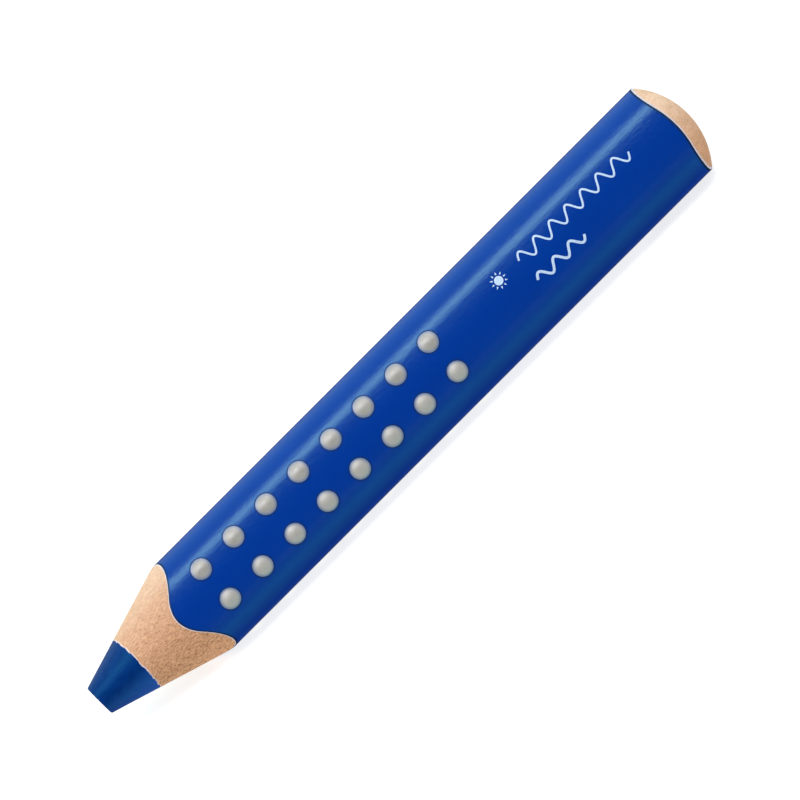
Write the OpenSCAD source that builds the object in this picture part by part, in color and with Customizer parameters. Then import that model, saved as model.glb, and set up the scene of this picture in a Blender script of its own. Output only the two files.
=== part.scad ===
// Jumbo wood-cased crayon with a rounded three-sided barrel and raised grip dots.
// It lies on one face along X: tip at -X, domed back end at +X, resting on its lowest dots at Z = 0.

/* [Barrel] */
// Length from the flat of the tip to the top of the domed end
total_length = 123.2; // [105:0.1:180]
// From the axis to the middle of a face, over the lacquer
face_reach = 7.6; // [7.4:0.01:8]
// From the axis to the outside of a rounded corner, over the lacquer
corner_reach = 8.87; // [8.7:0.01:9.2]
// Radius of the rounded corners
corner_radius = 5.84; // [4.5:0.02:6]
// Radius of the domed back end
dome_radius = 12.5; // [11:0.05:25]

/* [Sharpened tip] */
// Angle between the axis and the sharpened cone
cone_angle = 16.9; // [13:0.1:24]
// Width of the blunt flat at the very tip
tip_flat_width = 5.12; // [2:0.02:7]
// Width of the worn edge around the flat
tip_edge = 0.25; // [0.1:0.05:0.6]

/* [Core and casing] */
// Diameter of the colour core
core_diameter = 10; // [8:0.1:11]
// Wood left between the end of the core and the domed end
core_stop = 11; // [6:0.5:30]
// Thickness of the adhesive around the core
sleeve_thickness = 0.08; // [0.04:0.01:0.2]
// Thickness of the adhesive in the seam between the two slats
seam_thickness = 0.06; // [0.04:0.01:0.2]

/* [Coats] */
// Thickness of the white primer
primer_thickness = 0.04; // [0.04:0.01:0.15]
// Thickness of the blue lacquer
lacquer_thickness = 0.05; // [0.04:0.01:0.2]

/* [Grip dots] */
// Width of one dot
dot_width = 3.26; // [2:0.02:3.6]
// How far a dot stands above the lacquer
dot_height = 0.45; // [0.3:0.05:0.8]
// From the tip to the first pair of dots
first_dot = 24.55; // [23:0.05:30]
// Distance between dots along the barrel
dot_pitch = 6.78; // [4:0.02:7.5]
// Distance between the two rows on a face
row_spacing = 6.1; // [4:0.02:7]
// Dots in one row
dots_in_row = 8; // [3:1:8]

/* [Printed ornament] */
// Thickness of the printed foil
foil_thickness = 0.04; // [0.03:0.01:0.1]
// From the tip to the middle of the sun
sun_place = 85.8; // [84:0.1:88]
// From the tip to the start of both waves
wave_start = 90; // [89:0.1:91]
// Length of the long wave
long_wave_length = 22.8; // [20:0.1:23]
// Length of the short wave
short_wave_length = 9.6; // [8.6:0.1:14]

/* [Hidden] */
$fn = 180;
faces = ["lower", "rear", "printed"];
rows = ["a", "b"];
face_angles = [0, 120, 240];
printed_angle = face_angles[2];
function dot_name(face, row, column) = str("grip_dot_", faces[face], "_", rows[row], column + 1);
dots = [
    for (face = [0 : 2], row = [0 : 1], column = [0 : dots_in_row - 1]) [face, row, column]
];

// Each corner is an arc about a centre on the corner's direction, and each face a flatter arc that runs
// smoothly into both corners, about a centre behind the axis.
corner_centre = corner_reach - corner_radius;
face_rise = face_reach - corner_radius;
face_centre = (pow(corner_centre, 2) - pow(face_rise, 2)) / (2 * face_rise - corner_centre);
face_radius = face_reach + face_centre;
blend_angle = atan2(corner_centre * sin(60), face_centre + corner_centre * cos(60));
corner_overlap = 0.004;

core_radius = core_diameter / 2;
core_end = total_length - core_stop;
primer_inset = lacquer_thickness;
wood_inset = lacquer_thickness + primer_thickness;
blank_reach = corner_reach + 2;

dot_tilt = asin(row_spacing / 2 / face_radius);
dot_ball = (pow(dot_width / 2, 2) + pow(dot_height, 2)) / (2 * dot_height);
dot_ball_reach = face_radius + dot_height - dot_ball;
axis_height = dot_ball_reach * cos(dot_tilt) - face_centre + dot_ball;

sun_side = 2.2;
sun_disc = 0.7;
sun_rays = 10;
ray_start = 0.95;
ray_end = 1.4;
ray_half_width = 0.14;
long_wave_side = 2.15;
long_wave_swing = 1;
long_wave_stroke = 0.3;
long_wave_turns = 7;
short_wave_side = -1.85;
short_wave_swing = 0.8;
short_wave_stroke = 0.4;
short_wave_turns = 3;
steps_in_turn = 16;

// Puts a shape drawn along +Z from the tip into its place along X.
module lay_down() {
    translate([-total_length / 2, 0, axis_height]) rotate([0, 90, 0]) children();
}

// The barrel's cross-section, pulled in by inset. The face arcs are cut off where the corner arcs take over.
module section(inset = 0) {
    arc = face_radius - inset;
    cut = arc * cos(60 - blend_angle) - face_centre * cos(60);
    intersection() {
        common_to_all_faces() translate([-face_centre, 0]) circle(r = arc);
        circle(r = 2 * cut, $fn = 3);
    }
    for (turn = face_angles)
        rotate(turn + 60) translate([corner_centre, 0]) circle(r = corner_radius - inset + corner_overlap);
}

// What all three faces have in common.
module common_to_all_faces() {
    intersection_for(turn = face_angles) rotate(turn) children();
}

// Half outline of the cut ends: blunt tip, sharpened cone and domed back.
module end_outline() {
    cone_run = (blank_reach - tip_flat_width / 2) / tan(cone_angle);
    edge_reach = tip_flat_width / 2 + tip_edge * tan(cone_angle);
    intersection() {
        polygon([
            [0, 0],
            [tip_flat_width / 2 - tip_edge, 0],
            [edge_reach, tip_edge],
            [blank_reach, cone_run],
            [blank_reach, total_length],
            [0, total_length]
        ]);
        union() {
            translate([0, total_length - dome_radius]) circle(r = dome_radius);
            square([blank_reach, total_length - dome_radius]);
        }
    }
}

// A length of barrel with both ends cut, for a cross-section given as a child.
module cut_ends() {
    intersection() {
        linear_extrude(height = total_length) children();
        rotate_extrude() end_outline();
    }
}

// A thin coat over the barrel, open at both cut ends.
module coat(outer_inset, inner_inset) {
    lay_down() cut_ends() difference() {
        section(outer_inset);
        section(inner_inset);
    }
}

module core() {
    color([0.02, 0.2, 0.5]) lay_down() rotate_extrude() intersection() {
        end_outline();
        square([core_radius, core_end]);
    }
}

// Room for the core and the adhesive around it.
module core_groove() {
    translate([0, 0, -1]) cylinder(r = core_radius + sleeve_thickness, h = core_end + sleeve_thickness + 1);
}

// One of the two glued slats of wood. side is 1 towards the printed face and -1 away from it.
module casing_slat(side) {
    half = 2 * blank_reach;
    lay_down() difference() {
        cut_ends() intersection() {
            section(wood_inset);
            rotate(printed_angle) translate([side * (half / 2 + seam_thickness / 2), 0])
                square(half, center = true);
        }
        core_groove();
    }
}

module casing_slat_printed_side() {
    color([0.87, 0.7, 0.52]) casing_slat(1);
}

module casing_slat_plain_side() {
    color([0.85, 0.68, 0.5]) casing_slat(-1);
}

// The glue: a sleeve around the core and a thin sheet in the seam between the slats.
module adhesive_film() {
    color([0.93, 0.88, 0.78]) lay_down() difference() {
        union() {
            cut_ends() intersection() {
                section(wood_inset);
                rotate(printed_angle) square([seam_thickness, 4 * blank_reach], center = true);
            }
            intersection() {
                core_groove();
                rotate_extrude() end_outline();
            }
        }
        translate([0, 0, -1]) cylinder(r = core_radius, h = core_end + 1);
    }
}

module primer_coat() {
    color([0.96, 0.96, 0.94]) coat(primer_inset, wood_inset);
}

module lacquer_coat() {
    color([0.01, 0.2, 0.58]) coat(0, primer_inset);
}

// A low dome that sits on a face. Row 0 is on the side that a face's print has at its top.
module grip_dot(face, row, column) {
    side = row == 0 ? -1 : 1;
    color([0.7, 0.69, 0.65]) lay_down() difference() {
        rotate(face_angles[face]) translate([-face_centre, 0, first_dot + column * dot_pitch])
            rotate(side * dot_tilt) translate([dot_ball_reach, 0, 0]) sphere(r = dot_ball);
        linear_extrude(height = total_length) section();
    }
}

// Foil on the printed face, for a flat pattern whose X runs from the tip to the back.
module foil() {
    reach = 2 * face_radius;
    color([0.86, 0.9, 0.97]) lay_down() rotate(printed_angle) intersection() {
        rotate([0, -90, 180]) linear_extrude(height = reach) children();
        translate([-face_centre, 0, 0]) linear_extrude(height = total_length) difference() {
            circle(r = face_radius + foil_thickness);
            circle(r = face_radius);
        }
    }
}

function wave_point(along, side, length, turns, swing, stroke) =
    let (
        phase = 360 * turns * along,
        slope = swing * cos(phase) * 2 * PI * turns / length,
        lean = atan(slope)
    )
    [along * length - side * stroke / 2 * sin(lean), swing * sin(phase) + side * stroke / 2 * cos(lean)];

// A wavy line of even width.
module wave(length, turns, swing, stroke) {
    steps = turns * steps_in_turn;
    polygon(concat(
        [for (i = [0 : steps]) wave_point(i / steps, 1, length, turns, swing, stroke)],
        [for (i = [steps : -1 : 0]) wave_point(i / steps, -1, length, turns, swing, stroke)]
    ));
}

module printed_sun() {
    foil() translate([sun_place, sun_side]) {
        circle(r = sun_disc);
        for (i = [0 : sun_rays - 1])
            rotate(i * 360 / sun_rays)
                polygon([[ray_start, -ray_half_width], [ray_end, 0], [ray_start, ray_half_width]]);
    }
}

module printed_long_wave() {
    foil() translate([wave_start, long_wave_side])
        wave(long_wave_length, long_wave_turns, long_wave_swing, long_wave_stroke);
}

module printed_short_wave() {
    foil() translate([wave_start, short_wave_side])
        wave(short_wave_length, short_wave_turns, short_wave_swing, short_wave_stroke);
}

core();
casing_slat_printed_side();
casing_slat_plain_side();
adhesive_film();
primer_coat();
lacquer_coat();
printed_sun();
printed_long_wave();
printed_short_wave();
for (dot = dots)
    grip_dot(dot[0], dot[1], dot[2]);
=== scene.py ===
import bpy
import numpy as np
from mathutils import Matrix, Vector


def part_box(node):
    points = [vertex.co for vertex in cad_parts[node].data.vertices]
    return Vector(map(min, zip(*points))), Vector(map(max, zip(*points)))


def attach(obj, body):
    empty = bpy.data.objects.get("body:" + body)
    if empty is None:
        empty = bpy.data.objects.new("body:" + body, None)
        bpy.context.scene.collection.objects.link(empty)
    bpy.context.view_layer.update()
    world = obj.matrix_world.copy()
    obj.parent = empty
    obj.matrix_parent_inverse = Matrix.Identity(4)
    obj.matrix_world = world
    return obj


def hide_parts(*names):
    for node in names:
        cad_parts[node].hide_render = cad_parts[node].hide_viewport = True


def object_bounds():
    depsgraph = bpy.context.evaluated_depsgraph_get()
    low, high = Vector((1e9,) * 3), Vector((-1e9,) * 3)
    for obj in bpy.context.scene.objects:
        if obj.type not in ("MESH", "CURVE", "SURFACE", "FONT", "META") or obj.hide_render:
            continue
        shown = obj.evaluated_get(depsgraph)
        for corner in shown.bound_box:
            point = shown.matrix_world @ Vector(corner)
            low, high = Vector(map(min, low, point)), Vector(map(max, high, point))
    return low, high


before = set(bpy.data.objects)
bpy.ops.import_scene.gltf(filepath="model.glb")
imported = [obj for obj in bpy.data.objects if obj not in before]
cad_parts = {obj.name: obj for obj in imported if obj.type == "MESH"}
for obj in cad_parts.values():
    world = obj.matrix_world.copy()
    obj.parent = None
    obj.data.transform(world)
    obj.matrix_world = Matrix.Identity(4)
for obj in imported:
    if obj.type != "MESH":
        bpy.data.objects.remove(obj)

cad_low, cad_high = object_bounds()

# Sizes are in millimetres and angles in degrees, as in the CAD. The crayon's own coordinates are the
# distance from the tip along X, the distance from its axis, and the angle round the axis from +Y to +Z.
MM = 0.001
TIP_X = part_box("core")[0].x
AXIS_Z = (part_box("core")[0].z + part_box("core")[1].z) / 2
CORE_END = (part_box("core")[1].x - TIP_X) / MM
LENGTH = (cad_high.x - cad_low.x) / MM
BACK_HALF = 60  # what lies further along than this is not on the sharpened cone

# The barrel's section: a round arc at each corner, and a flatter arc on each face that runs into both.
FACE_REACH = (AXIS_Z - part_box("lacquer_coat")[0].z) / MM
CORNER_REACH = (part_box("lacquer_coat")[1].z - AXIS_Z) / MM
CORNER_RADIUS = 5.84
CORNER_CENTRE = CORNER_REACH - CORNER_RADIUS
FACE_RISE = FACE_REACH - CORNER_RADIUS
FACE_CENTRE = (CORNER_CENTRE**2 - FACE_RISE**2) / (2 * FACE_RISE - CORNER_CENTRE)
FACE_RADIUS = FACE_REACH + FACE_CENTRE
FACE_ANGLES = {"lower": -90, "rear": 30, "printed": 150}
SEAM_ANGLE = FACE_ANGLES["printed"] - 90

# The layers: core, glue round it and between the slats, wood, primer, lacquer, and foil on top.
CORE_RADIUS = 5.0
SLEEVE = 0.08
SEAM = 0.06
GROOVE_RADIUS = CORE_RADIUS + SLEEVE
GROOVE_END = CORE_END + SLEEVE
PRIMER = 0.04
PRIMER_UNEVEN = 0.006  # how much the line between primer and lacquer varies in depth
LACQUER = 0.05
LACQUER_RIPPLE = 0.006
WOOD_INSET = LACQUER + PRIMER
FOIL = 0.04
FOIL_EDGE = 0.72  # share of the foil's thickness that is left at its edge
FOIL_SUNK = 0.01

# The cut ends, and what the blade left of the layers there.
TIP_RADIUS = 2.56
TIP_ROUNDING = 0.28
CONE_SLOPE = np.tan(np.radians(16.9))
DOME_RADIUS = 12.5
CORE_WORN = 0.1  # how much thinner the core is at its edge
CORE_RAGGED = 0.06
CORE_OFF_CENTRE = 0.18  # how far it sits off centre at its edge, towards the printed face
GLUE_LINE = (0.055, 0.025)  # width of the glue round the core, and how much it varies
PAINT_TORN = 0.18  # how far the paint is torn back in the middle of a face
PRIMER_LIP = 0.24  # how far the primer runs over the dome
LIP_HEIGHT = 0.012
LIP_SUNK = 0.03
SETTLE = 1.2  # depth at which the uneven edges round the core have turned into a round groove

# Grip dots.
DOT_RADIUS = 1.59
DOT_HEIGHT = 0.425
DOT_SIDE = 3.07  # distance of each row from the middle between the rows
DOT_SHIFT = 0.085  # how far that middle lies towards the print's top
DOT_ROUNDNESS = 1.7  # power in the dome's profile
DOT_RIM = 0.66  # share of the radius where the paint starts to thin out
DOT_LIFT = 0.02  # height at which the dome ends and the foot starts
DOT_FOOT = 0.22  # width of the foot, a thin ring painted dark as shade round the dot
DOT_FOOT_HEIGHTS = (0.012, 0.01)  # at the foot's inner and outer edge
DOT_SUNK = 0.04
DOT_SIDES = 56

# Print on the face. Sides are distances from the face's middle towards its top.
SUN_SIDE = 2.2
SUN_DISC = 0.7
SUN_RAYS = 10
RAY = (0.95, 1.4, 0.14)  # start, end and half width
WAVE_START = 90.0
WAVES = {  # length, turns, swing, stroke and side
    "long_wave": (22.8, 7, 1.0, 0.3, 2.15),
    "short_wave": (9.6, 3, 0.8, 0.4, -1.85),
}

# Noise in shapes: layers of depth and cell, the distances over which it fades out towards a piece's edges,
# the size of its lattice, and where reading starts, away from the lattice's corners.
CORE_EDGE_NOISE = [(0.5, (1, 0.6, 0.6)), (0.5, (1, 0.22, 0.22))]
CORE_RELIEF = [(0.012, (4.0, 1.1, 1.1)), (0.006, (2.0, 0.3, 0.3))]
WOOD_RELIEF = [(0.011, (2.6, 0.2, 0.2)), (0.012, (3.0, 0.9, 0.9))]
CORE_FADE = 0.3
WOOD_FADE = 0.25
PAINT_FADE = 0.4
LATTICE = 64
LATTICE_START = 1000.5

# Seeds. Layered noise and the dots also take the numbers that follow theirs.
CORE_EDGE_SEED = 11
GLUE_LINE_SEED = 13
PRIMER_LINE_SEED = 14
CORE_SEED = 21
RIPPLE_SEED = 31
LIP_SEED = 32
DOTS_SEED = 500

# The two slats: how far each is turned about the axis, how far its grain is, and its seed.
SLATS = {
    "printed": (0, 0, 41),
    "plain": (180, 172, 51),
}

ROOT = "root"

# Camera, with what it looks at: a point along the barrel and a little up the printed face.
VIEW_WIDTH = 118.5
AIM_ALONG = 63.01
AIM_UP = 0.043
FOCAL_LENGTH = 1000
SENSOR = 36

# Softboxes in metres: elevation, distance, length and width, shift along the barrel, radiance, and whether
# they show in gloss and cast shadows.
LIGHTS = {
    "key_softbox": (71.5, 0.6, (2.4, 0.36), 0.0, 2.75, True),
    "key_core": (71.5, 0.59, (0.6, 0.15), -0.1, 5.4, True),
    "rear_softbox": (120, 0.8, (2.4, 0.9), 0.0, 1.1, False),
    "low_softbox": (-30, 0.8, (2.4, 0.6), 0.0, 0.5, False),
}

# Surroundings as (elevation, brightness, blueness), towards -Y, towards +Y and in front of both ends.
HORIZON = [(-2.2, 0.1, 0), (-1.6, 1.0, 0), (1.6, 1.0, 0), (2.2, 0.1, 0)]
BELOW_IN_FRONT = [(-90, 0.0, 1), (-65, 0.3, 1), (-39, 1.0, 1), (-20, 0.4, 1), (-6, 0.04, 1)]
BELOW_BEHIND = [(-90, 0.0, 0), (-39, 0.15, 0), (-6, 0.04, 0)]
ABOVE_IN_FRONT = [(20, 0.03, 0), (60, 0.04, 0), (90, 0.3, 0)]
SKY_IN_FRONT = [*BELOW_IN_FRONT, *HORIZON, *ABOVE_IN_FRONT]
SKY_AT_ENDS = [*BELOW_BEHIND, *HORIZON, *ABOVE_IN_FRONT]
SKY_BEHIND = [*BELOW_BEHIND, *HORIZON, (5, 0.55, 0.4), (30, 0.9, 0.4), (70, 0.7, 0.4), (90, 0.3, 0)]
SKY_BLUE = (0.1, 1.0, 0.68)  # colour at full blueness
BEHIND = (-0.2, 0.2)  # Y of a direction where the sky in front turns into the one behind
AT_ENDS = (0.62, 0.85)  # and its X, either way, where it turns into the one at the ends


# ---------------------------------------------------------------- shapes shared by the pieces

def from_face_middle(angle):
    """How far round an angle is from the middle of the nearest face, from -60 to 60."""
    return (np.asarray(angle) - FACE_ANGLES["lower"] + 60) % 120 - 60


def section(angle, inset=0.0):
    """Distance from the axis to the barrel's surface, pulled in by inset."""
    turn = np.radians(np.abs(from_face_middle(angle)))
    from_corner = turn - np.radians(60)
    arc, corner = FACE_RADIUS - inset, CORNER_RADIUS - inset
    on_face = -FACE_CENTRE * np.cos(turn) + np.sqrt(arc**2 - (FACE_CENTRE * np.sin(turn)) ** 2)
    on_corner = CORNER_CENTRE * np.cos(from_corner)
    on_corner = on_corner + np.sqrt(corner**2 - (CORNER_CENTRE * np.sin(from_corner)) ** 2)
    blend = np.arctan2(CORNER_CENTRE * np.sin(np.radians(60)), FACE_CENTRE + CORNER_CENTRE / 2)
    change = np.arctan2(arc * np.sin(blend), arc * np.cos(blend) - FACE_CENTRE)
    return np.where(turn < change, on_face, on_corner)


def cone_at(reach):
    """How far from the tip the sharpened cone has that distance from the axis."""
    return (reach - TIP_RADIUS) / CONE_SLOPE


def paint_front(reach, angle):
    """Where the paint starts on the cone: the blade tore it back a little in the middle of each face."""
    return cone_at(reach) + PAINT_TORN * np.cos(np.radians(1.5 * from_face_middle(angle))) ** 4


def dome_at(reach):
    """How far from the tip the domed end has that distance from the axis."""
    return LENGTH - DOME_RADIUS + np.sqrt(DOME_RADIUS**2 - reach**2)


def place(along, reach, angle):
    """Points in metres, in the CAD's frame."""
    turn = np.radians(angle)
    along, reach, turn = np.broadcast_arrays(along, reach, turn)
    return np.stack(
        [TIP_X + along * MM, reach * np.cos(turn) * MM, AXIS_Z + reach * np.sin(turn) * MM], axis=-1
    )


def outwards(angle):
    """Direction away from the axis."""
    return np.array([0, np.cos(np.radians(angle)), np.sin(np.radians(angle))])


def grids(rows, columns):
    """Distances along and from the axis, for rows of one pair each or of one pair for each column."""
    along, reach = zip(*rows)
    ones = np.ones(columns)
    return np.array([a * ones for a in along]), np.array([r * ones for r in reach])


def noise(seed, points, cell):
    """Smooth noise from -1 to 1 at points in metres, with cells of that size in millimetres."""
    lattice = np.random.default_rng(seed).uniform(-1, 1, (LATTICE, LATTICE, LATTICE))
    at = points / MM / np.asarray(cell) + LATTICE_START
    low = np.floor(at).astype(int)
    part = at - low
    part = part * part * (3 - 2 * part)
    total = 0
    for corner in np.ndindex(2, 2, 2):
        weight = np.prod(np.where(corner, part, 1 - part), axis=-1)
        i, j, k = np.moveaxis((low + corner) % LATTICE, -1, 0)
        total = total + weight * lattice[i, j, k]
    return total


def layered(seed, points, layers):
    """Noise in layers of (depth, cell)."""
    return sum(depth * noise(seed + i, points, cell) for i, (depth, cell) in enumerate(layers))


def blend_in(distance, width):
    """0 at distance 0, rising smoothly to 1 at width."""
    part = np.clip(distance / width, 0, 1)
    return part * part * (3 - 2 * part)


def finished(name, points, faces, materials, node_name, crease=38):
    """A mesh object that stands for a CAD node. Edges sharper than crease stay sharp."""
    mesh = bpy.data.meshes.new(name)
    mesh.from_pydata([tuple(p) for p in points], [], faces)
    for material in materials:
        mesh.materials.append(material)
    mesh.polygons.foreach_set("use_smooth", [True] * len(mesh.polygons))
    mesh.update()
    mesh.set_sharp_from_angle(angle=np.radians(crease))
    piece = bpy.data.objects.new(name, mesh)
    bpy.context.scene.collection.objects.link(piece)
    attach(piece, ROOT)
    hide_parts(node_name)
    return piece


def skin(grid, wrap=True, first=None, last=None, ring=False):
    """Points and faces of a skin over rows of points.

    wrap closes each row on itself, ring joins the last row to the first, and first and last are points
    that close the ends. An open skin of unwrapped rows is closed by a flat face on each side.
    """
    rows, columns = grid.shape[:2]
    points = list(grid.reshape(-1, 3))
    faces = []
    turns = range(columns if wrap else columns - 1)
    for i in range(rows if ring else rows - 1):
        a, b = i * columns, (i + 1) % rows * columns
        for j in turns:
            k = (j + 1) % columns
            faces.append((a + j, a + k, b + k, b + j))
    ends = []
    for point, row in ((first, 0), (last, rows - 1)):
        if point is None:
            continue
        points.append(point)
        ends.append(len(points) - 1)
        for j in turns:
            pair = (row * columns + (j + 1) % columns, row * columns + j)
            faces.append((ends[-1], *(pair if row == 0 else pair[::-1])))
    if not wrap:
        side = [i * columns for i in range(rows)]
        faces.append((ends[0], *side, ends[1]))
        faces.append((ends[1], *[s + columns - 1 for s in side[::-1]], ends[0]))
    return points, faces


def joined(parts):
    """Points and faces of several shapes as one."""
    points, faces = [], []
    for more_points, more_faces in parts:
        base = len(points)
        points += more_points
        faces += [tuple(base + i for i in face) for face in more_faces]
    return points, faces


# ---------------------------------------------------------------- materials

class Surface:
    """A Principled material, built up from procedural patterns in the crayon's own millimetres."""

    def __init__(self, name, **values):
        self.material = bpy.data.materials.new(name)
        self.material.use_nodes = True
        self.tree = self.material.node_tree
        self.shader = self.tree.nodes["Principled BSDF"]
        for socket, value in values.items():
            self.shader.inputs[socket.replace("_", " ")].default_value = value
        self.place = self.tree.nodes.new("ShaderNodeTexCoord").outputs["Object"]

    def node(self, kind, inputs=(), **settings):
        """A node of that kind, with each input either linked or set."""
        made = self.tree.nodes.new(kind)
        for key, value in settings.items():
            setattr(made, key, value)
        for socket, value in dict(inputs).items():
            if isinstance(value, bpy.types.NodeSocket):
                self.tree.links.new(value, made.inputs[socket])
            else:
                made.inputs[socket].default_value = value
        return made

    def spread(self, cell, turn=0.0):
        """Coordinates that count cells of that size in millimetres, turned about X."""
        inputs = {
            "Vector": self.place,
            "Scale": [MM * c for c in cell],
            "Rotation": (np.radians(turn), 0, 0),
        }
        return self.node("ShaderNodeMapping", inputs, vector_type="TEXTURE").outputs["Vector"]

    def up_the_seam(self):
        """Distance from the axis along the seam, towards the top of the printed face, in metres."""
        position = self.node("ShaderNodeSeparateXYZ", {0: self.place})
        out = self.maths("MULTIPLY", position.outputs["Y"], np.cos(np.radians(SEAM_ANGLE)))
        height = self.maths("SUBTRACT", position.outputs["Z"], AXIS_Z)
        return self.maths("ADD", out, self.maths("MULTIPLY", height, np.sin(np.radians(SEAM_ANGLE))))

    def noise(self, cell, detail=2.0, roughness=0.5, distortion=0.0, turn=0.0):
        """Noise from 0 to 1, with cells of that size in millimetres."""
        inputs = {
            "Vector": self.spread(cell, turn),
            "Scale": 1.0,
            "Detail": detail,
            "Roughness": roughness,
            "Distortion": distortion,
        }
        return self.node("ShaderNodeTexNoise", inputs).outputs["Fac"]

    def range(self, value, low, high, to_low=0.0, to_high=1.0):
        """The value, with low to high stretched to to_low to to_high, and no further."""
        inputs = {0: value, 1: low, 2: high, 3: to_low, 4: to_high}
        return self.node("ShaderNodeMapRange", inputs).outputs[0]

    def maths(self, operation, a, b=0.0):
        return self.node("ShaderNodeMath", {0: a, 1: b}, operation=operation).outputs[0]

    def mix(self, factor, a, b):
        return self.node("ShaderNodeMix", {0: factor, 6: a, 7: b}, data_type="RGBA").outputs[2]

    def bump(self, height, distance, strength=1.0):
        """A bump whose full height is distance, in millimetres."""
        inputs = {"Height": height, "Distance": distance * MM, "Strength": strength}
        return self.node("ShaderNodeBump", inputs).outputs["Normal"]

    def finish(self, colour, roughness, normal):
        """The material, with these on its shader."""
        for socket, value in (("Base Color", colour), ("Roughness", roughness), ("Normal", normal)):
            self.tree.links.new(value, self.shader.inputs[socket])
        return self.material


def rgb(red, green, blue):
    """A colour given as it looks on a screen, 0 to 255, as the shaders need it."""
    value = np.array([red, green, blue]) / 255
    linear = np.where(value <= 0.04045, value / 12.92, ((value + 0.055) / 1.055) ** 2.4)
    return (*[float(v) for v in linear], 1.0)


def wood_material(name, turn):
    """Bare casing wood: fibres and short pores along X, paler end grain, and painted light up the face."""
    s = Surface(name, IOR=1.45)
    # A share from 0 low on the face to 1 up it, which carries painted light into the colours below.
    painted_light_up_face = s.range(s.up_the_seam(), -4.5 * MM, 4.0 * MM)
    along = s.node("ShaderNodeSeparateXYZ", {0: s.place}).outputs["X"]
    end_grain = s.range(along, 40 * MM, 50 * MM)
    bands = s.noise((90, 1.5, 4.0), 2.0, 0.5, 0.4, turn)
    fibres = s.noise((1.0, 0.11, 0.35), 2.0, 0.65, 0.0, turn)
    pores = s.noise((0.5, 0.11, 0.3), 1.0, 0.5, 0.0, turn)
    rays = s.noise((1.8, 0.26, 0.9), 2.0, 0.5, 1.2, turn)
    # Painted light: browner low on the face, greyer and paler up it as a painted sheen, lighter again at the
    # very bottom, and a painted highlight that makes the top corner palest.
    colour = s.mix(painted_light_up_face, rgb(205, 151, 109), rgb(190, 148, 121))
    colour = s.mix(s.range(s.up_the_seam(), -4.5 * MM, -9 * MM), colour, rgb(232, 172, 126))
    colour = s.mix(s.range(s.up_the_seam(), 3.5 * MM, 8 * MM), colour, rgb(203, 172, 150))
    # The end grain on the dome is painted paler towards the top: painted light.
    cut = s.mix(painted_light_up_face, rgb(216, 162, 123), rgb(232, 197, 171))
    cut = s.mix(s.range(rays, 0.48, 0.66, 0, 0.4), cut, rgb(190, 134, 96))
    colour = s.mix(end_grain, colour, cut)
    colour = s.mix(s.range(bands, 0.35, 0.65, 0, 0.3), colour, rgb(182, 134, 98))
    # The grain marks are painted fainter up the face, along with the painted light there, and fainter on the
    # end grain.
    depth = s.maths("MULTIPLY", s.range(painted_light_up_face, 0.0, 1.0, 1.1, 0.3), s.range(end_grain, 0, 1, 1.0, 0.55))
    dark = s.maths("MULTIPLY", s.range(fibres, 0.5, 0.7, 0, 0.72), depth)
    colour = s.mix(dark, colour, rgb(156, 102, 66))
    colour = s.mix(s.range(fibres, 0.48, 0.3, 0, 0.4), colour, rgb(234, 188, 148))
    dark = s.maths("MULTIPLY", s.range(pores, 0.54, 0.65, 0, 0.85), depth)
    colour = s.mix(dark, colour, rgb(136, 86, 52))
    height = s.maths("ADD", fibres, s.maths("MULTIPLY", s.range(pores, 0.55, 0.66), -0.9))
    return s.finish(colour, s.range(fibres, 0.3, 0.7, 0.6, 0.75), s.bump(height, 0.045, 0.9))


def core_material():
    """The waxy colour core, smooth where the blade passed, with fine streaks and specks, and painted light
    low on it.
    """
    s = Surface("core_wax", IOR=1.45, Specular_Tint=(0.05, 0.44, 0.74, 1))
    streaks = s.noise((3.0, 0.3, 0.3), 3.0, 0.6, 0.3)
    cloud = s.noise((2.2, 1.1, 1.1), 3.0, 0.6)
    specks = s.noise((0.16, 0.14, 0.14), 2.0, 0.6)
    turning = s.noise((0.12, 6.0, 6.0), 2.0, 0.5)
    colour = s.mix(s.range(cloud, 0.3, 0.7), rgb(0, 33, 91), rgb(0, 38, 103))
    # Painted light: the core is painted lighter and bluer low on the face.
    colour = s.mix(s.range(s.up_the_seam(), -1.0 * MM, -4.5 * MM), colour, rgb(24, 74, 160))
    colour = s.mix(s.range(streaks, 0.5, 0.75, 0, 0.4), colour, rgb(10, 58, 126))
    colour = s.mix(s.range(specks, 0.6, 0.75, 0, 0.35), colour, rgb(0, 20, 62))
    height = s.maths("ADD", s.maths("MULTIPLY", streaks, 0.7), s.maths("MULTIPLY", turning, 0.35))
    height = s.maths("ADD", height, s.maths("MULTIPLY", specks, 0.2))
    return s.finish(colour, s.range(cloud, 0.3, 0.7, 0.3, 0.42), s.bump(height, 0.06, 0.8))


def lacquer_material():
    """Blue lacquer: level and satin, over wood whose fibres just show through in the sheen."""
    s = Surface("lacquer_blue", IOR=1.5, Specular_Tint=(0.38, 0.79, 0.75, 1))
    tone = s.noise((9.0, 3.0, 3.0), 2.0, 0.5)
    grain = s.noise((2.4, 0.16, 0.16), 3.0, 0.6)
    peel = s.noise((0.6, 0.4, 0.4), 3.0, 0.6)
    dust = s.noise((0.07, 0.07, 0.07), 1.0, 0.5)
    colour = s.mix(s.range(tone, 0.3, 0.7), rgb(0, 45, 130), rgb(0, 47, 133))
    colour = s.mix(s.range(dust, 0.7, 0.8, 0, 0.15), colour, rgb(20, 70, 150))
    height = s.maths("ADD", s.maths("MULTIPLY", grain, 0.3), s.maths("MULTIPLY", peel, 0.7))
    return s.finish(colour, s.range(peel, 0.3, 0.7, 0.19, 0.27), s.bump(height, 0.05, 0.9))


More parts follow.
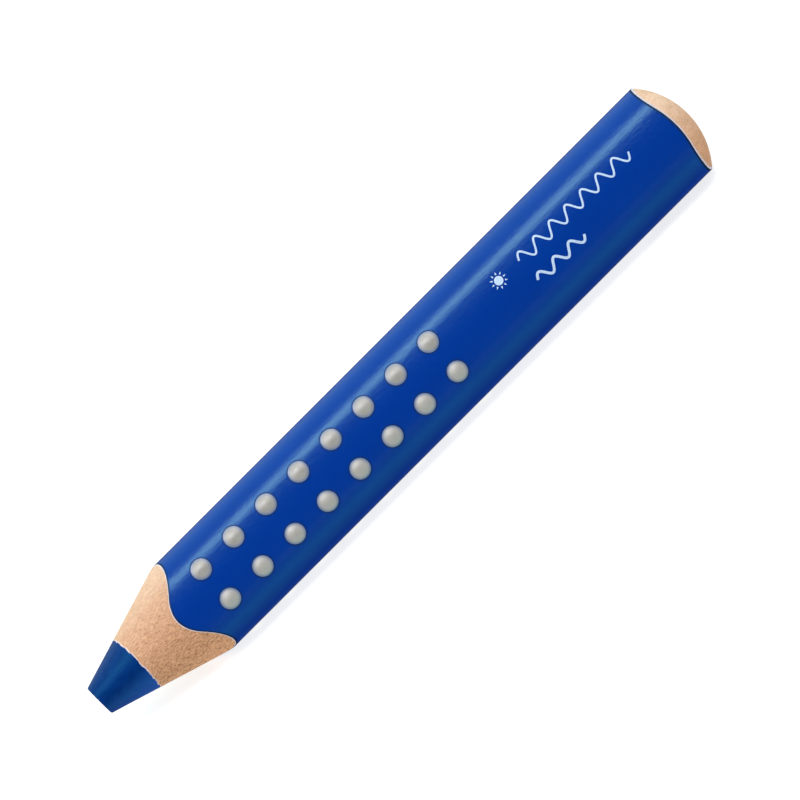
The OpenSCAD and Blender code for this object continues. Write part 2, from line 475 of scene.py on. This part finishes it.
def lacquer_edge_material():
    """Where the blade cut through the lacquer: duller and darker."""
    s = Surface("lacquer_cut_edge", IOR=1.42, Specular_Tint=(0.38, 0.8, 1, 1))
    ticks = s.noise((0.2, 0.2, 0.2), 2.0, 0.6)
    colour = s.mix(s.range(ticks, 0.35, 0.65), rgb(0, 16, 52), rgb(0, 24, 72))
    return s.finish(colour, s.range(ticks, 0.3, 0.7, 0.5, 0.65), s.bump(ticks, 0.01, 0.6))


def primer_material():
    """The chalky white primer that shows as a line at both ends of the paint."""
    s = Surface("primer_white", IOR=1.4)
    chalk = s.noise((0.3, 0.2, 0.2), 3.0, 0.6)
    colour = s.mix(s.range(chalk, 0.35, 0.7), rgb(202, 197, 210), rgb(180, 175, 190))
    return s.finish(colour, s.range(chalk, 0.3, 0.7, 0.6, 0.75), s.bump(chalk, 0.012, 0.7))


def glue_material():
    """Dried wood glue, with a little pigment and dust dragged into it by the blade."""
    s = Surface("glue_film", IOR=1.45)
    dust = s.noise((0.4, 0.22, 0.22), 3.0, 0.6)
    smear = s.noise((0.9, 0.3, 0.3), 2.0, 0.5)
    colour = s.mix(s.range(dust, 0.35, 0.65), rgb(210, 196, 200), rgb(190, 166, 156))
    colour = s.mix(s.range(smear, 0.52, 0.66, 0, 0.5), colour, rgb(130, 130, 170))
    return s.finish(colour, s.range(dust, 0.3, 0.7, 0.5, 0.65), s.bump(dust, 0.015, 0.7))


def dot_material():
    """The grip dots' thick, matt, grey paint, which thins out and turns bluish at the rim, painted lighter
    low on the face.
    """
    s = Surface("grip_dot_grey", IOR=1.78, Specular_Tint=(1, 0.94, 0.97, 1))
    cloud = s.noise((1.1, 1.1, 1.1), 3.0, 0.6)
    grain = s.noise((0.09, 0.09, 0.09), 2.0, 0.6)
    thin = s.node("ShaderNodeAttribute", attribute_name="thin").outputs["Fac"]
    colour = s.mix(s.range(cloud, 0.3, 0.7), rgb(138, 136, 132), rgb(150, 148, 143))
    # Painted light: dots lower on the face are painted lighter, for the light they lack there.
    colour = s.mix(s.range(s.up_the_seam(), 3.5 * MM, -4.5 * MM, 0, 0.34), colour, rgb(184, 181, 176))
    colour = s.mix(s.range(grain, 0.6, 0.75, 0, 0.3), colour, rgb(112, 112, 107))
    colour = s.mix(s.range(thin, 0, 1, 0, 0.75), colour, rgb(64, 98, 146))
    return s.finish(colour, s.range(cloud, 0.3, 0.7, 0.34, 0.42), s.bump(grain, 0.012, 0.5))


def dot_foot_shade_material():
    """A thin dark ring round each dot: painted shade at the dot's foot, over the edge its paint leaves on
    the lacquer.
    """
    s = Surface("grip_dot_foot_painted_shade", IOR=1.42, Specular_Tint=(0.38, 0.8, 1, 1))
    ticks = s.noise((0.2, 0.2, 0.2), 2.0, 0.6)
    colour = s.mix(s.range(ticks, 0.35, 0.65), rgb(0, 22, 78), rgb(0, 30, 96))
    return s.finish(colour, s.range(ticks, 0.3, 0.7, 0.45, 0.6), s.bump(ticks, 0.01, 0.5))


def foil_material():
    """Pale hot-stamped foil, with the lacquer grinning through in tiny pinholes."""
    s = Surface("foil_pale", IOR=1.45)
    wear = s.noise((0.35, 0.16, 0.16), 3.0, 0.65)
    pinholes = s.noise((0.1, 0.08, 0.08), 1.0, 0.5)
    colour = s.mix(s.range(wear, 0.35, 0.7), rgb(180, 200, 222), rgb(158, 182, 212))
    colour = s.mix(s.range(pinholes, 0.7, 0.76, 0, 0.6), colour, rgb(90, 130, 190))
    return s.finish(colour, s.range(wear, 0.3, 0.7, 0.34, 0.46), s.bump(wear, 0.006, 0.5))


# ---------------------------------------------------------------- where the layers end on the cone

def ring_points(angle, reach=CORE_RADIUS):
    """Points round the axis, to read noise at."""
    return place(0.0, reach, np.asarray(angle, dtype=float))


def core_edge(angle):
    """The core's radius where it comes out of the wood.

    The blade leaves it a little ragged, and it sits slightly off centre, towards the printed face.
    """
    ragged = layered(CORE_EDGE_SEED, ring_points(angle), CORE_EDGE_NOISE)
    shift = CORE_OFF_CENTRE * np.cos(np.radians(np.asarray(angle) - FACE_ANGLES["printed"]))
    return CORE_RADIUS - CORE_WORN + shift + CORE_RAGGED * ragged


def wood_edge(angle):
    """The groove's radius where it comes out on the cone."""
    width, change = GLUE_LINE
    return core_edge(angle) + width + change * noise(GLUE_LINE_SEED, ring_points(angle), (1, 0.35, 0.35))


def primer_edge(angle):
    """How deep the line between primer and lacquer lies, which brushes and blade leave uneven."""
    return LACQUER + PRIMER_UNEVEN * noise(PRIMER_LINE_SEED, ring_points(angle, 8.0), (1, 0.8, 0.8))


def settling(edge, radius, depths):
    """Rows of distances along and from the axis, from an uneven edge on the cone in to an even radius."""
    return [(cone_at(edge) + depth, edge + (radius - edge) * blend_in(depth, SETTLE)) for depth in depths]


# ---------------------------------------------------------------- core, slats and glue

def core_rows(rim):
    """Distances along and from the axis: the tip's flat, its worn edge, the cone, the rod and its end."""
    cone_angle = np.arctan(CONE_SLOPE)
    flat = TIP_RADIUS - TIP_ROUNDING * np.tan((np.pi / 2 - cone_angle) / 2)
    rows = [(0.0, TIP_RADIUS * part) for part in (0.2, 0.45, 0.7)]
    rows.append((0.0, flat))
    for turn in np.linspace(0, np.pi / 2 - cone_angle, 8)[1:]:
        rows.append((TIP_ROUNDING * (1 - np.cos(turn)), flat + TIP_ROUNDING * np.sin(turn)))
    start = rows[-1][1]
    for part in np.linspace(0, 1, 60)[1:]:
        reach = start + (rim - start) * part
        rows.append((cone_at(reach), reach))
    for depth in (0.15, 0.6, 1.5, 4.0, 10.0, 25.0, 50.0, 75.0):
        settle = blend_in(depth, 1.5)
        along = cone_at(rim) * (1 - settle) + cone_at(CORE_RADIUS) * settle + depth
        rows.append((along, rim + (CORE_RADIUS - rim) * settle))
    return [*rows, (CORE_END, CORE_RADIUS), (CORE_END, CORE_RADIUS * 0.5)]


def make_core():
    """The colour core, with slight facets and scratches on the cone where the blade passed."""
    angle = np.linspace(0, 360, 240, endpoint=False)
    rim = core_edge(angle)
    along, reach = grids(core_rows(rim), len(angle))
    cut = blend_in(along, CORE_FADE) * blend_in(cone_at(rim) - along, CORE_FADE)
    facets = layered(CORE_SEED, place(along, reach, angle), CORE_RELIEF)
    grid = place(along, reach + cut * facets, angle)
    points, faces = skin(grid, first=place(0, 0, 0), last=place(CORE_END, 0, 0))
    finished("colour_core", points, faces, [core_material()], "core")


def slat_rows(ring, skin_reach):
    """Distances along and from the axis: along the groove, up the cone, along the barrel, over the dome."""
    rows = [(GROOVE_END, GROOVE_RADIUS * 0.5)]
    rows += [(along, GROOVE_RADIUS) for along in (GROOVE_END, 95.0, 75.0, 55.0, 35.0, 20.0, 14.0, 11.0)]
    rows += settling(ring, GROOVE_RADIUS, (1.2, 0.6, 0.2))
    for part in np.linspace(0, 1, 110):
        reach = ring + (skin_reach - ring) * part
        rows.append((cone_at(reach), reach))
    front, back = cone_at(skin_reach), dome_at(skin_reach)
    for part in np.linspace(0, 1, 16)[1:-1]:
        rows.append((front + (back - front) * part, skin_reach))
    for part in np.linspace(0, 1, 76)[:-1]:
        reach = skin_reach * np.cos(part * np.pi / 2) ** 0.9
        rows.append((dome_at(reach), reach))
    return rows


def wood_relief(seed, along, reach, angle, ring, skin_reach):
    """Fibres and blade marks on the cone and the dome. On the dome they only go inwards."""
    relief = layered(seed, place(along, reach, angle), WOOD_RELIEF)
    from_core, to_paint = along - cone_at(ring), cone_at(skin_reach) - along
    on_cone = blend_in(from_core, WOOD_FADE) * blend_in(to_paint, WOOD_FADE)
    on_dome = blend_in(along - dome_at(skin_reach), WOOD_FADE) * (along > BACK_HALF)
    outside = reach > GROOVE_RADIUS * 0.98
    return relief * on_cone * outside + (0.7 * relief - 0.017) * on_dome


def make_slat(name, node_name, start_angle, seed, material):
    """Half of the wooden casing, which leaves room for the glue in the seam."""
    share = np.linspace(0, 1, 300)
    angle = start_angle + 180 * share
    ring = wood_edge(angle)
    skin_reach = section(angle, WOOD_INSET)
    along, reach = grids(slat_rows(ring, skin_reach), len(share))
    relief = wood_relief(seed, along, reach, angle, ring, skin_reach)
    along_part = (along - (LENGTH - DOME_RADIUS)) / DOME_RADIUS
    along = along + relief * np.where(along > BACK_HALF, along_part, 0)
    reach = reach + relief * np.where(along > BACK_HALF, reach / DOME_RADIUS, 1)
    inside = SEAM / 2
    shrink = np.degrees(np.arcsin(np.clip(inside / np.maximum(reach, inside), 0, 1)))
    grid = place(along, reach, start_angle + shrink + (180 - 2 * shrink) * share)
    nudge = outwards(start_angle + 90) * inside * MM
    points, faces = skin(
        grid, wrap=False, first=place(GROOVE_END, 0, 0) + nudge, last=place(LENGTH, 0, 0) + nudge
    )
    finished(name, points, faces, [material], node_name, 60)


def glue_sleeve():
    """The glue round the core and over its inner end."""
    angle = np.linspace(0, 360, 240, endpoint=False)
    rows = [(GROOVE_END, GROOVE_RADIUS * part) for part in (0.4, 0.999)]
    rows += [(along, GROOVE_RADIUS) for along in (90.0, 60.0, 35.0, 20.0, 12.0)]
    rows += settling(wood_edge(angle), GROOVE_RADIUS, (1.2, 0.6, 0.2, 0.0))
    rows += settling(core_edge(angle), CORE_RADIUS, (0.0, 0.2, 0.6, 1.2))
    rows += [(along, CORE_RADIUS) for along in (12.0, 20.0, 35.0, 60.0, 90.0, CORE_END)]
    rows.append((CORE_END, CORE_RADIUS * 0.4))
    grid = place(*grids(rows, len(angle)), angle)
    return skin(grid, first=place(GROOVE_END, 0, 0), last=place(CORE_END, 0, 0))


def glue_sheet():
    """The glue in the seam: a thin sheet from the sleeve out to the cone, the primer and the dome."""
    sides = []
    for turn in (SEAM_ANGLE, SEAM_ANGLE + 180):
        edge = float(wood_edge(turn))
        reach = float(section(turn, WOOD_INSET))
        side = [(along, GROOVE_RADIUS, turn) for along in (GROOVE_END, cone_at(edge) + SETTLE)]
        side += [(cone_at(r), r, turn) for r in np.linspace(edge, reach, 20)]
        side += [(dome_at(r), r, turn) for r in reach * np.cos(np.linspace(0, np.pi / 2, 24))]
        sides.append(side)
    outline = [place(*point) for point in sides[0] + sides[1][::-1][1:]]
    across = outwards(SEAM_ANGLE + 90) * SEAM / 2 * MM
    count = len(outline)
    points = [p + across for p in outline] + [p - across for p in outline]
    faces = [tuple(range(count)), tuple(count + i for i in reversed(range(count)))]
    for i in range(count):
        k = (i + 1) % count
        faces.append((i, count + i, count + k, k))
    return points, faces


def make_glue():
    """The glue's sleeve and sheet, as one piece."""
    points, faces = joined([glue_sleeve(), glue_sheet()])
    finished("glue_between_slats", points, faces, [glue_material()], "adhesive_film")


# ---------------------------------------------------------------- primer and lacquer

COAT_ANGLES = np.linspace(0, 360, 480, endpoint=False)


def lip_rows(outside, inside, lip):
    """Rows of points down the dome from a coat's edge, and under it back to the coat's inner side."""
    rows = []
    for part in (0.1, 0.4, 0.7, 1.0):
        reach = outside - lip * part
        rows.append(place(dome_at(reach) + LIP_HEIGHT, reach, COAT_ANGLES))
    for reach in (outside - lip, inside):
        rows.append(place(dome_at(reach) - LIP_SUNK, reach, COAT_ANGLES))
    return rows


def make_coat(name, node_name, outer, inner, materials, wave=0.0, lip=0.0):
    """A thin shell over the barrel, whose cut edges lie on the cone and on the dome.

    outer and inner are how deep its two sides lie, wave is the depth of the ripple in the outer one, and lip
    is how far the shell runs over the dome. A second material takes a narrow line at both edges.
    """
    outside, inside = section(COAT_ANGLES) - outer, section(COAT_ANGLES) - inner
    near = np.array([0.0, 0.0005, 0.0012, 0.0028, 0.006, 0.012, 0.02])
    parts = np.concatenate([near, np.linspace(0.03, 0.97, 96), 1 - near[::-1]])
    rows = []
    front, back = paint_front(outside, COAT_ANGLES), dome_at(outside)
    for part in parts:
        at = front + (back - front) * part
        ripple = noise(RIPPLE_SEED, place(at, outside, COAT_ANGLES), (5.0, 0.9, 0.9))
        ripple = wave * (ripple - 1) / 2 * blend_in(at - front, PAINT_FADE)
        ripple = ripple * blend_in(back - at, PAINT_FADE)
        rows.append(place(at, outside + ripple, COAT_ANGLES))
    if lip > 0:
        ragged = lip * (1 + 0.25 * noise(LIP_SEED, rows[-1], (1, 0.5, 0.5)))
        rows += lip_rows(outside, inside, ragged)
    front = paint_front(inside, COAT_ANGLES)
    back = dome_at(inside) - (2 * LIP_SUNK if lip > 0 else 0)
    for part in np.linspace(1, 0, 12):
        rows.append(place(front + (back - front) * part, inside, COAT_ANGLES))
    points, faces = skin(np.array(rows), ring=True)
    piece = finished(name, points, faces, materials, node_name)
    if len(materials) > 1:
        last = len(parts) - 1
        edge_rows = (0, 1, last - 3, last - 2, last - 1, last, len(rows) - 1)
        for polygon in piece.data.polygons:
            if polygon.index // len(COAT_ANGLES) in edge_rows:
                polygon.material_index = 1


def make_coats():
    """The white primer, and the blue lacquer over it."""
    line = primer_edge(COAT_ANGLES)
    make_coat(
        "white_primer", "primer_coat", line, WOOD_INSET, [primer_material()], lip=PRIMER_LIP
    )
    paints = [lacquer_material(), lacquer_edge_material()]
    make_coat("blue_lacquer", "lacquer_coat", 0.0, line, paints, wave=LACQUER_RIPPLE)


# ---------------------------------------------------------------- grip dots

def on_face(face, along, side, height):
    """A point over a face: side is towards the print's top, height is above the lacquer."""
    turn = np.arcsin(np.asarray(side) / FACE_RADIUS)
    swing = np.arctan2(FACE_RADIUS * np.sin(turn), FACE_RADIUS * np.cos(turn) - FACE_CENTRE)
    reach = section(FACE_ANGLES[face] - np.degrees(swing))
    out = reach * np.cos(swing) + height * np.cos(turn)
    over = reach * np.sin(swing) + height * np.sin(turn)
    return place(along, np.hypot(out, over), FACE_ANGLES[face] - np.degrees(np.arctan2(over, out)))


def dot_place(node_name):
    """The face of a dot, how far along it is, and how far towards the print's top."""
    low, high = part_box(node_name)
    face = node_name.split("_")[2]
    centre = (low + high) / 2
    turn = np.degrees(np.arctan2(centre.z - AXIS_Z, centre.y))
    away = (FACE_ANGLES[face] - turn + 180) % 360 - 180
    return face, (centre.x - TIP_X) / MM, np.copysign(DOT_SIDE, away) + DOT_SHIFT


def make_dot(node_name, seed, materials):
    """A dome of thick paint, a little different from the others, on a thin foot painted dark as shade."""
    random = np.random.default_rng(seed)
    face, along, side = dot_place(node_name)
    around = np.linspace(0, 2 * np.pi, DOT_SIDES, endpoint=False)
    wobble = 1 + 0.006 * np.sin(2 * around + random.uniform(0, 6))
    wobble += 0.004 * np.sin(3 * around + random.uniform(0, 6))
    size = DOT_RADIUS * random.uniform(0.985, 1.0)
    tall = DOT_HEIGHT * random.uniform(0.96, 1.0)
    shares = np.sin(np.linspace(0.06, np.pi / 2, 26))
    rows = [
        (size * part * wobble, tall * (1 - part**2) ** DOT_ROUNDNESS + DOT_LIFT) for part in shares
    ]
    rows.append((size * wobble + 0.01, DOT_FOOT_HEIGHTS[0]))
    rows.append((size * wobble + DOT_FOOT, DOT_FOOT_HEIGHTS[1]))
    rows.append((size * wobble + DOT_FOOT, -DOT_SUNK))
    grid = np.array([
        on_face(face, along + reach * np.cos(around), side + reach * np.sin(around), height)
        for reach, height in rows
    ])
    top, bottom = (on_face(face, along, side, height) for height in (tall + DOT_LIFT, -DOT_SUNK))
    points, faces = skin(grid, first=top, last=bottom)
    name = node_name.replace("grip_dot", "dot")
    piece = finished(name, points, faces, materials, node_name, 60)
    # The foot's faces take the painted shade.
    for polygon in piece.data.polygons:
        if len(shares) <= polygon.index // DOT_SIDES < len(rows) - 1:
            polygon.material_index = 1
    reaches = np.repeat([*shares, 1, 1, 1], DOT_SIDES)
    thin = piece.data.attributes.new("thin", "FLOAT", "POINT")
    thin.data.foreach_set("value", [*blend_in(reaches - DOT_RIM, 1 - DOT_RIM), 0.0, 1.0])


def make_dots():
    """All grip dots, each at the place of its CAD node."""
    materials = [dot_material(), dot_foot_shade_material()]
    for index, node_name in enumerate(sorted(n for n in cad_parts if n.startswith("grip_dot_"))):
        make_dot(node_name, DOTS_SEED + index, materials)


# ---------------------------------------------------------------- print

def plate(patch, face, start):
    """Points and faces of a thin foil over a grid of flat points: distance along, and towards the top."""
    rows, columns = patch.shape[:2]
    along, side = start + patch[..., 0], patch[..., 1]
    thickness = np.ones((rows, columns))
    thickness[[0, -1], :] = FOIL_EDGE
    thickness[:, [0, -1]] = FOIL_EDGE
    top = on_face(face, along, side, FOIL * thickness)
    bottom = on_face(face, along, side, -FOIL_SUNK)
    points = list(top.reshape(-1, 3)) + list(bottom.reshape(-1, 3))
    count = rows * columns
    faces = []
    for i in range(rows - 1):
        for j in range(columns - 1):
            a = i * columns + j
            quad = (a, a + 1, a + columns + 1, a + columns)
            faces.append(quad)
            faces.append(tuple(count + q for q in reversed(quad)))
    loop = list(range(columns)) + [i * columns + columns - 1 for i in range(1, rows)]
    loop += list(range(count - 2, count - columns - 1, -1)) + [i * columns for i in range(rows - 2, 0, -1)]
    for a, b in zip(loop, loop[1:] + loop[:1]):
        faces.append((b, a, count + a, count + b))
    return points, faces


def wave_patch(length, turns, swing, stroke, side):
    """A wavy line of even width, at that distance from the face's middle."""
    along = np.linspace(0, 1, turns * 40 + 1)[:, None]
    across = np.linspace(-0.5, 0.5, 7)[None, :] * stroke
    phase = 2 * np.pi * turns * along
    lean = np.arctan(swing * np.cos(phase) * 2 * np.pi * turns / length)
    x = along * length - across * np.sin(lean)
    y = side + swing * np.sin(phase) + across * np.cos(lean)
    return np.stack([x, y], axis=-1)


def disc_patch(radius):
    """A square grid pressed into a disc."""
    line = np.linspace(-1, 1, 15)
    u, v = np.meshgrid(line, line, indexing="ij")
    return radius * np.stack([u * np.sqrt(1 - v**2 / 2), v * np.sqrt(1 - u**2 / 2)], axis=-1)


def ray_patch(start, end, half_width, turn):
    """A long triangle that points away from the sun's middle, turned about it."""
    u = np.linspace(0, 0.97, 9)[:, None]
    v = np.linspace(-1, 1, 5)[None, :]
    out, over = start + (end - start) * u + 0 * v, half_width * v * (1 - u)
    x = out * np.cos(turn) - over * np.sin(turn)
    y = out * np.sin(turn) + over * np.cos(turn)
    return np.stack([x, y], axis=-1)


def make_print():
    """A sun and two waves, in foil on one face."""
    material = foil_material()
    sun = (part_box("printed_sun")[0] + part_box("printed_sun")[1]) / 2
    turns = np.linspace(0, 2 * np.pi, SUN_RAYS, endpoint=False)
    patches = [disc_patch(SUN_DISC), *[ray_patch(*RAY, turn) for turn in turns]]
    points, faces = joined(
        plate(patch + np.array([0.0, SUN_SIDE]), "printed", (sun.x - TIP_X) / MM) for patch in patches
    )
    finished("foil_sun", points, faces, [material], "printed_sun")
    for name, wave in WAVES.items():
        points, faces = plate(wave_patch(*wave), "printed", WAVE_START)
        finished(f"foil_{name}", points, faces, [material], f"printed_{name}")


# ---------------------------------------------------------------- stage, lights and camera

def make_floor():
    """A white floor that glows enough to stay white, and that gloss does not show."""
    s = Surface("floor_white", Roughness=0.9, Emission_Strength=0.77)
    s.shader.inputs["Base Color"].default_value = rgb(150, 150, 150)
    s.shader.inputs["Emission Color"].default_value = (1, 1, 1, 1)
    s.shader.inputs["Specular IOR Level"].default_value = 0.0
    mesh = bpy.data.meshes.new("floor")
    half = 5.0
    mesh.from_pydata(
        [(-half, -half, 0), (half, -half, 0), (half, half, 0), (-half, half, 0)], [], [(0, 1, 2, 3)]
    )
    mesh.materials.append(s.material)
    floor = bpy.data.objects.new("floor", mesh)
    bpy.context.scene.collection.objects.link(floor)
    floor.visible_glossy = False


def make_light(name, elevation, distance, size, shift, radiance, seen_in_gloss):
    """A softbox by the barrel, of that length and width. Elevation is from -Y over the top towards +Y."""
    turn = np.radians(elevation)
    out = Vector((0, -np.cos(turn), np.sin(turn)))
    data = bpy.data.lights.new(name, "AREA")
    data.shape = "RECTANGLE"
    data.size, data.size_y = size
    data.energy = radiance * np.pi * data.size * data.size_y
    data.use_shadow = seen_in_gloss
    light = bpy.data.objects.new(name, data)
    light.location = Vector((shift, 0, AXIS_Z)) + out * distance
    light.rotation_mode = "QUATERNION"
    light.rotation_quaternion = out.to_track_quat("Z", "Y")
    light.visible_glossy = seen_in_gloss
    bpy.context.scene.collection.objects.link(light)


def sky_ramp(tree, height, stops):
    """Colour of the surroundings for a height from 0, straight down, to 1, straight up."""
    ramp = tree.nodes.new("ShaderNodeValToRGB")
    elements = ramp.color_ramp.elements
    for _ in stops[2:]:
        elements.new(0.5)
    for element, (elevation, level, blueness) in zip(elements, stops):
        element.position = (np.sin(np.radians(elevation)) + 1) / 2
        element.color = (*[level * (1 + (share - 1) * blueness) for share in SKY_BLUE], 1)
    tree.links.new(height, ramp.inputs[0])
    return ramp.outputs[0]


def share_of(tree, value, low, high):
    """0 below low, rising smoothly to 1 at high."""
    share = tree.nodes.new("ShaderNodeMapRange")
    share.interpolation_type = "SMOOTHSTEP"
    share.inputs[1].default_value = low
    share.inputs[2].default_value = high
    tree.links.new(value, share.inputs[0])
    return share.outputs[0]


def sky_mix(tree, share, first, second):
    """One colour of the surroundings, turning into another as share goes from 0 to 1."""
    mix = tree.nodes.new("ShaderNodeMix")
    mix.data_type = "RGBA"
    for socket, value in ((0, share), (6, first), (7, second)):
        tree.links.new(value, mix.inputs[socket])
    return mix.outputs[2]


def make_world():
    """A studio that is white at the horizon, bright behind, and dim in front over a blue-green glow.

    The glow is left out towards the crayon's ends, where only a view from there would reflect it.
    """
    world = bpy.data.worlds.new("studio")
    world.use_nodes = True
    tree = world.node_tree
    direction = tree.nodes.new("ShaderNodeSeparateXYZ")
    tree.links.new(tree.nodes.new("ShaderNodeTexCoord").outputs["Generated"], direction.inputs[0])
    height = tree.nodes.new("ShaderNodeMapRange")
    height.inputs[1].default_value = -1
    tree.links.new(direction.outputs["Z"], height.inputs[0])
    along = tree.nodes.new("ShaderNodeMath")
    along.operation = "ABSOLUTE"
    tree.links.new(direction.outputs["X"], along.inputs[0])
    front, ends, back = (
        sky_ramp(tree, height.outputs[0], stops) for stops in (SKY_IN_FRONT, SKY_AT_ENDS, SKY_BEHIND)
    )
    sky = sky_mix(tree, share_of(tree, along.outputs[0], *AT_ENDS), front, ends)
    sky = sky_mix(tree, share_of(tree, direction.outputs["Y"], *BEHIND), sky, back)
    tree.links.new(sky, tree.nodes["Background"].inputs["Color"])
    bpy.context.scene.world = world


def make_camera():
    """Looks square at the printed face, rolled so that the tip points to the lower left."""
    out = Vector(outwards(FACE_ANGLES["printed"]))
    up_the_face = Vector((1, 0, 0)).cross(out) * -1
    right = (Vector((1, 0, 0)) - up_the_face).normalized()
    up = (Vector((1, 0, 0)) + up_the_face).normalized()
    data = bpy.data.cameras.new("camera")
    data.lens = FOCAL_LENGTH
    data.sensor_width = SENSOR
    data.clip_start, data.clip_end = 0.05, 20
    aim = Vector((TIP_X + AIM_ALONG * MM, 0, AXIS_Z)) + up_the_face * AIM_UP * MM
    camera = bpy.data.objects.new("camera", data)
    turn = Matrix((right, up, out)).transposed().to_4x4()
    distance = VIEW_WIDTH * MM * FOCAL_LENGTH / SENSOR
    camera.matrix_world = Matrix.Translation(aim + out * distance) @ turn
    bpy.context.scene.collection.objects.link(camera)
    bpy.context.scene.camera = camera


bpy.context.scene.view_settings.view_transform = "Standard"
make_camera()
make_floor()
make_world()
for name, light in LIGHTS.items():
    make_light(name, *light)

make_core()
for side, (turn, grain_turn, seed) in SLATS.items():
    wood = wood_material(f"wood_{side}_side", SEAM_ANGLE + grain_turn)
    make_slat(f"slat_{side}_side", f"casing_slat_{side}_side", SEAM_ANGLE + turn, seed, wood)
make_glue()
make_coats()
make_dots()
make_print()
